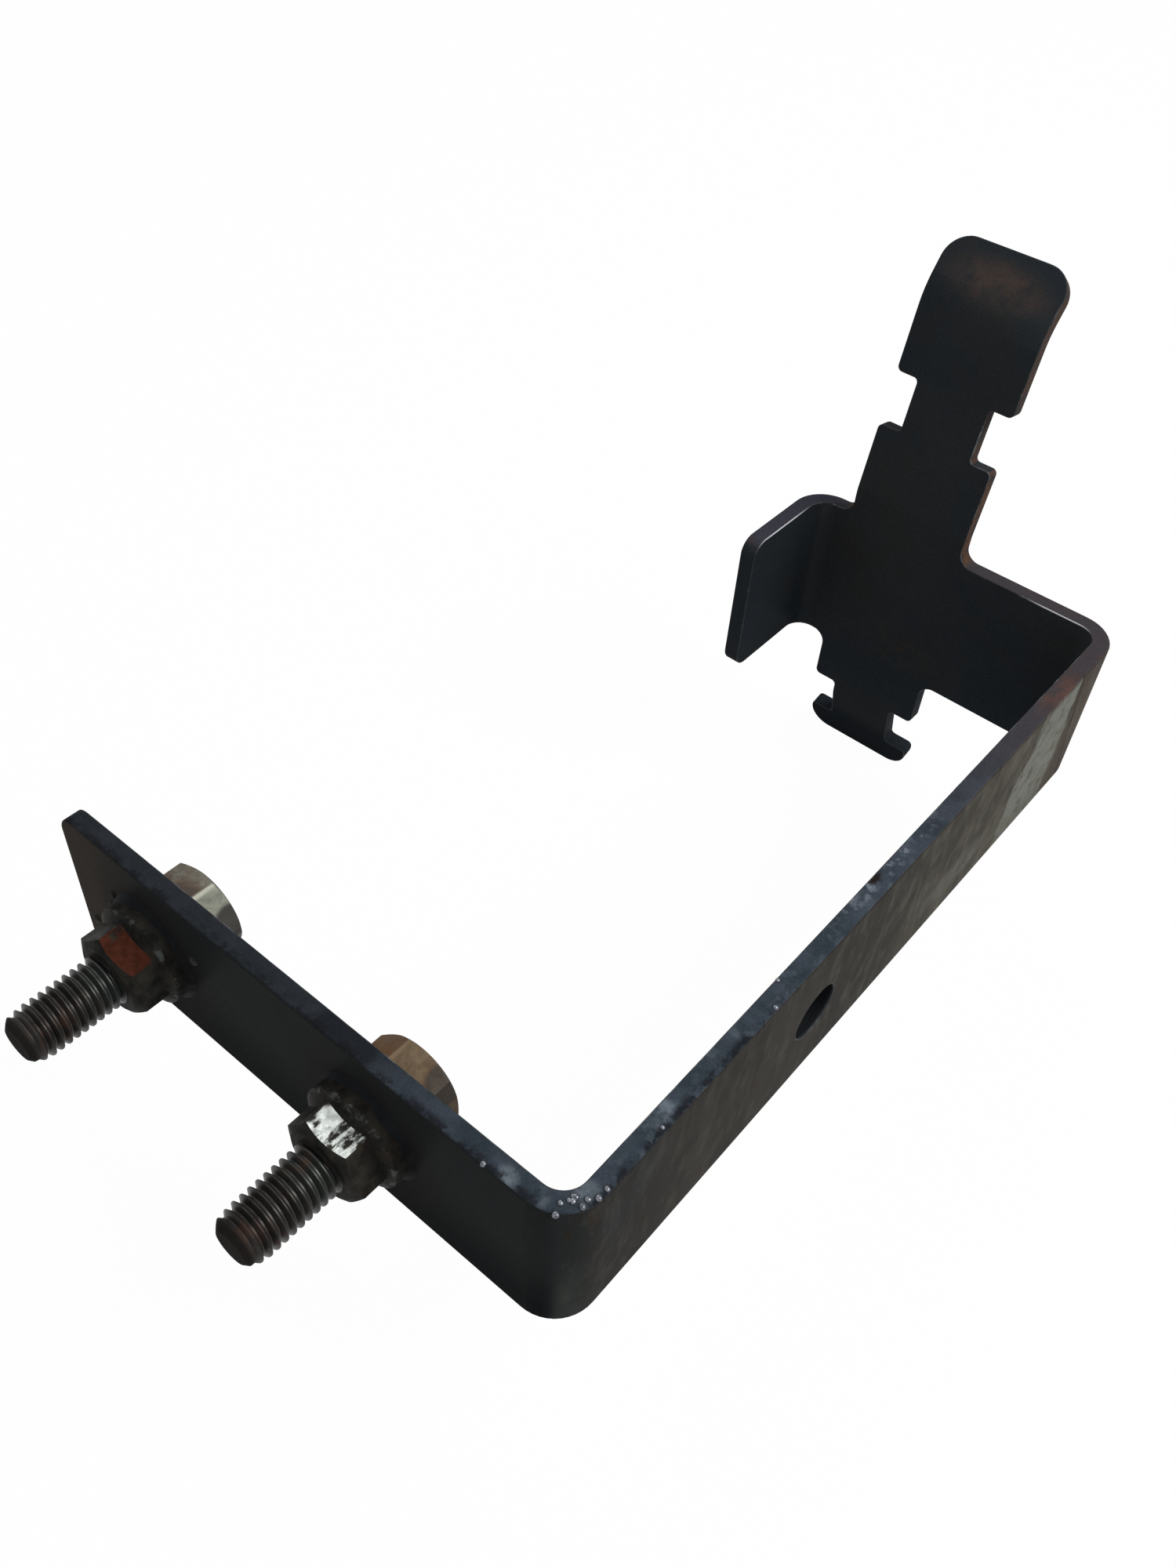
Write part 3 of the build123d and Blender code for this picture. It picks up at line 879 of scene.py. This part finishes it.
def cut_bolt(name, finishes):
    """Bolt turned about its axis: bevelled hexagon head, washer face and a thread to its tip."""
    seat, from_web = FRONT_X + SHEET, BOLT_PLACES[name]
    head_rows = len(head_section(0.0))
    rows = head_rows + len(thread_section(0.0))
    points = []
    for step in range(BOLT_STEPS):
        angle = 2.0 * math.pi * step / BOLT_STEPS
        head = head_section(angle - math.radians(HEAD_TURN[name]))
        for radius, height in head + thread_section(step / BOLT_STEPS):
            across, up = radius * math.cos(angle), radius * math.sin(angle)
            points.append((seat + height, from_web + across, up))

    def a_pitch_on(row):
        """Row of the first column beside the last one's: the thread has moved on by a pitch."""
        return row if row < head_rows else min(row + len(THREAD_PROFILE), rows - 1)

    faces = ring_faces(BOLT_STEPS, rows, closed=False, seam_row=a_pitch_on)
    bolt = add_object(name + "_threaded", mesh_of_points(name + "_threaded", points, faces))
    give_finishes(bolt, finishes)
    for polygon in bolt.data.polygons:
        polygon.material_index = int(polygon.index % (rows - 1) >= head_rows - 1)
    finish_solid(bolt, sharp_degrees=35.0)
    return bolt


# ---------------------------------------------------------------- weld metal and spatter
def weld_section(out, seed):
    """Points round the weld metal's section in one direction, as radius and rise off the leg."""
    swell = noise.noise(out * 1.7 + Vector((seed, 0.0, 0.0)))
    swell += 0.5 * noise.noise(out * 5.0 + Vector((0.0, seed, 0.0)))
    width = WELD_WIDTH + 0.4 * swell + WELD_SAG * max(0.0, -out.y)
    height = WELD_HEIGHT + 0.5 * swell
    section = [(WELD_INNER_RADIUS, -WELD_SUNK), (WELD_INNER_RADIUS, height + WELD_CLIMB)]
    section.append((FLANGE_RADIUS + CLEAR_OF_FLANGE, height))
    for width_share, height_share in WELD_HOLLOW:
        section.append((FLANGE_RADIUS + width * width_share, height * height_share))
    section.append((FLANGE_RADIUS + width, -WELD_SUNK))
    return section


def lay_weld(name, from_web):
    """Ragged fillet of weld metal round a nut's flange, on the outside of the front leg."""
    points = []
    for step in range(WELD_STEPS):
        angle = 2.0 * math.pi * step / WELD_STEPS
        out = Vector((math.cos(angle), math.sin(angle), 0.0))
        section = weld_section(out, seed=from_web)
        for radius, rise in section:
            points.append((FRONT_X - rise, from_web + radius * out.x, radius * out.y))
    faces = ring_faces(WELD_STEPS, len(section), closed=True)
    weld = add_object(name, mesh_of_points(name, points, faces))
    give_finishes(weld, [WELD])
    finish_solid(weld, sharp_degrees=60.0)
    return weld


def spatter_nodes():
    """Geometry nodes that set a round bead on each point, with its size by seed."""
    inputs = [("Geometry", "NodeSocketGeometry"), ("Smallest", FLOAT), ("Largest", FLOAT)]
    inputs += [("Flatness", VECTOR), ("Seed", "NodeSocketInt"), ("Material", "NodeSocketMaterial")]
    outputs = [("Geometry", "NodeSocketGeometry")]
    tree, given, out = node_group("Spatter", inputs, outputs, "GeometryNodeTree")
    ball = tree.add("GeometryNodeMeshIcoSphere", {"Radius": 1.0, "Subdivisions": 3})
    places = tree.add("GeometryNodeMeshToPoints", {"Mesh": given["Geometry"]})
    size = tree.add(
        "FunctionNodeRandomValue",
        {2: given["Smallest"], 3: given["Largest"], "Seed": given["Seed"]},
        data_type="FLOAT",
    )
    squash = tree.scale(given["Flatness"], size.outputs[1])
    placed = tree.add(
        "GeometryNodeInstanceOnPoints",
        {"Points": places.outputs[0], "Instance": ball.outputs["Mesh"], "Scale": squash},
    )
    real = tree.add("GeometryNodeRealizeInstances", {"Geometry": placed.outputs[0]})
    smooth = tree.add("GeometryNodeSetShadeSmooth", {"Geometry": real.outputs[0]})
    finish = tree.add(
        "GeometryNodeSetMaterial", {"Geometry": smooth.outputs[0], "Material": given["Material"]}
    )
    tree.feed(out.inputs["Geometry"], finish.outputs[0])
    return tree.node_tree


def scatter(name, places, smallest, largest, flatness, seed, finish):
    """Plain mesh of beads at places in millimetres, made by the spatter nodes."""
    carrier = add_object(name + "_places", mesh_of_points(name + "_places", places))
    modifier = carrier.modifiers.new("Spatter", "NODES")
    modifier.node_group = SPATTER
    values = {"Smallest": smallest * MM, "Largest": largest * MM, "Flatness": flatness}
    values.update({"Seed": seed, "Material": finish})
    for item in SPATTER.interface.items_tree:
        if item.in_out == "INPUT" and item.name in values:
            modifier[item.identifier] = values[item.name]
    bpy.context.view_layer.update()
    evaluated = carrier.evaluated_get(bpy.context.evaluated_depsgraph_get())
    beads = bpy.data.meshes.new_from_object(evaluated)
    bpy.data.objects.remove(carrier)
    return add_object(name, beads)


# ---------------------------------------------------------------- build
STRIP = strip_finish()
WORN_EDGE = worn_edge_finish()
THREAD = thread_finish()
# The weld's near-black tone is partly painted shadow, for the dark band round each nut's flange
WELD = weld_finish("weld metal", dark=WELD_BLACK_AND_SHADOW, light=WELD_BROWN)
GREY_LUMP = weld_finish("grey lumps", dark=LUMP_DARK, light=LUMP_LIGHT)
BEAD = bead_finish()
PALE_HEAD = head_finish(
    "zinc head",
    plate=ZINC,
    rusts=ZINC_RUSTS,
    brown_corner=(-44.0, 67.6, 2.6),
    corner_brown=ZINC_CORNER,
    highlight_corner=(-46.5, 72.4, 7.05),
    seed=30.0,
)
TAN_HEAD = head_finish(
    "tan head",
    plate=TAN,
    rusts=TAN_RUSTS,
    brown_corner=(-44.0, 27.0, 4.6),
    corner_brown=TAN_CORNER,
    highlight_corner=(-46.5, 34.3, 7.39),
    seed=40.0,
)
RUSTED_NUT = nut_finish(
    "rusted nut",
    from_web=BOLT_PLACES["end_bolt"],
    flat=110.0,
    flat_colour=NUT_RUST,
    cover=0.62,
    metal=0.0,
    seed=50.0,
)
SCRAPED_NUT = nut_finish(
    "scraped nut",
    from_web=BOLT_PLACES["bend_bolt"],
    flat=96.0,
    flat_colour=NUT_BRIGHT,
    cover=0.54,
    metal=0.6,
    seed=60.0,
)
SPATTER = spatter_nodes()

give_finishes(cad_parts["bracket"], [STRIP, WORN_EDGE])
put_burr_on(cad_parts["bracket"])

for name, finish in (("bend_nut", SCRAPED_NUT), ("end_nut", RUSTED_NUT)):
    give_finishes(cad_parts[name], [finish])

for name, finish in (("bend_bolt", TAN_HEAD), ("end_bolt", PALE_HEAD)):
    bolt = cut_bolt(name, [finish, THREAD])
    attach(bolt, "root")
    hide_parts(name)

for name, from_web in BOLT_PLACES.items():
    weld_piece = lay_weld(name.replace("bolt", "nut_weld"), from_web)
    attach(weld_piece, "root")

beads = scatter(
    "bend_beads",
    [(x, y, HALF_WIDTH) for x, y in BEAD_PLACES],
    smallest=0.28,
    largest=0.46,
    flatness=(1.0, 1.0, 0.8),
    seed=3,
    finish=BEAD,
)
lumps = scatter(
    "leg_lumps",
    [(FRONT_X, y, z) for y, z in LUMP_PLACES],
    smallest=0.55,
    largest=1.0,
    flatness=(0.6, 1.0, 1.0),
    seed=8,
    finish=GREY_LUMP,
)
for piece in (beads, lumps):
    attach(piece, "root")


# ---------------------------------------------------------------- stage
def add_floor():
    """Floor just under the lowest point of the tab's foot."""
    low, _ = bounds_before
    bpy.ops.mesh.primitive_plane_add(size=FLOOR_SIZE, location=(0.0, 0.0, low[2] - FLOOR_GAP))
    floor = bpy.context.object
    floor.name = "floor"
    floor.data.materials.append(floor_finish())


def add_sky():
    """World that lights the object softly, and is white to the camera and in reflections."""
    world = bpy.data.worlds.new("soft sky")
    bpy.context.scene.world = world
    world.use_nodes = True
    tree = Tree(world.node_tree)
    background = world.node_tree.nodes["Background"]
    background.inputs["Color"].default_value = grey(1.0)
    strength = tree.blend(tree.seen_directly(), SKY_LIGHT, 1.0)
    tree.feed(background.inputs["Strength"], strength)


def add_lamp(name, place, size, power):
    """Round lamp that faces the middle of the bracket."""
    data = bpy.data.lights.new(name, "AREA")
    data.shape = "DISK"
    data.size = size
    data.energy = power
    lamp = add_object(name, data)
    lamp.location = place
    way = Vector(LAMP_TARGET) - Vector(place)
    lamp.rotation_euler = way.to_track_quat("-Z", "Y").to_euler()


def add_camera():
    """Camera that looks down into the U from the front bend's side."""
    data = bpy.data.cameras.new("camera")
    data.sensor_width = 36.0
    data.lens = CAMERA_LENS
    data.clip_start = 0.01
    camera = add_object("camera", data)
    camera.location = CAMERA_PLACE
    camera.rotation_euler = [math.radians(degrees) for degrees in CAMERA_TURN]
    bpy.context.scene.camera = camera


add_floor()
add_sky()
add_lamp("key", (0.25, -0.5, 0.7), size=0.5, power=9.0)
add_lamp("fill", (0.5, 0.6, 0.8), size=0.8, power=3.0)
add_camera()
bpy.context.scene.view_settings.view_transform = "Standard"
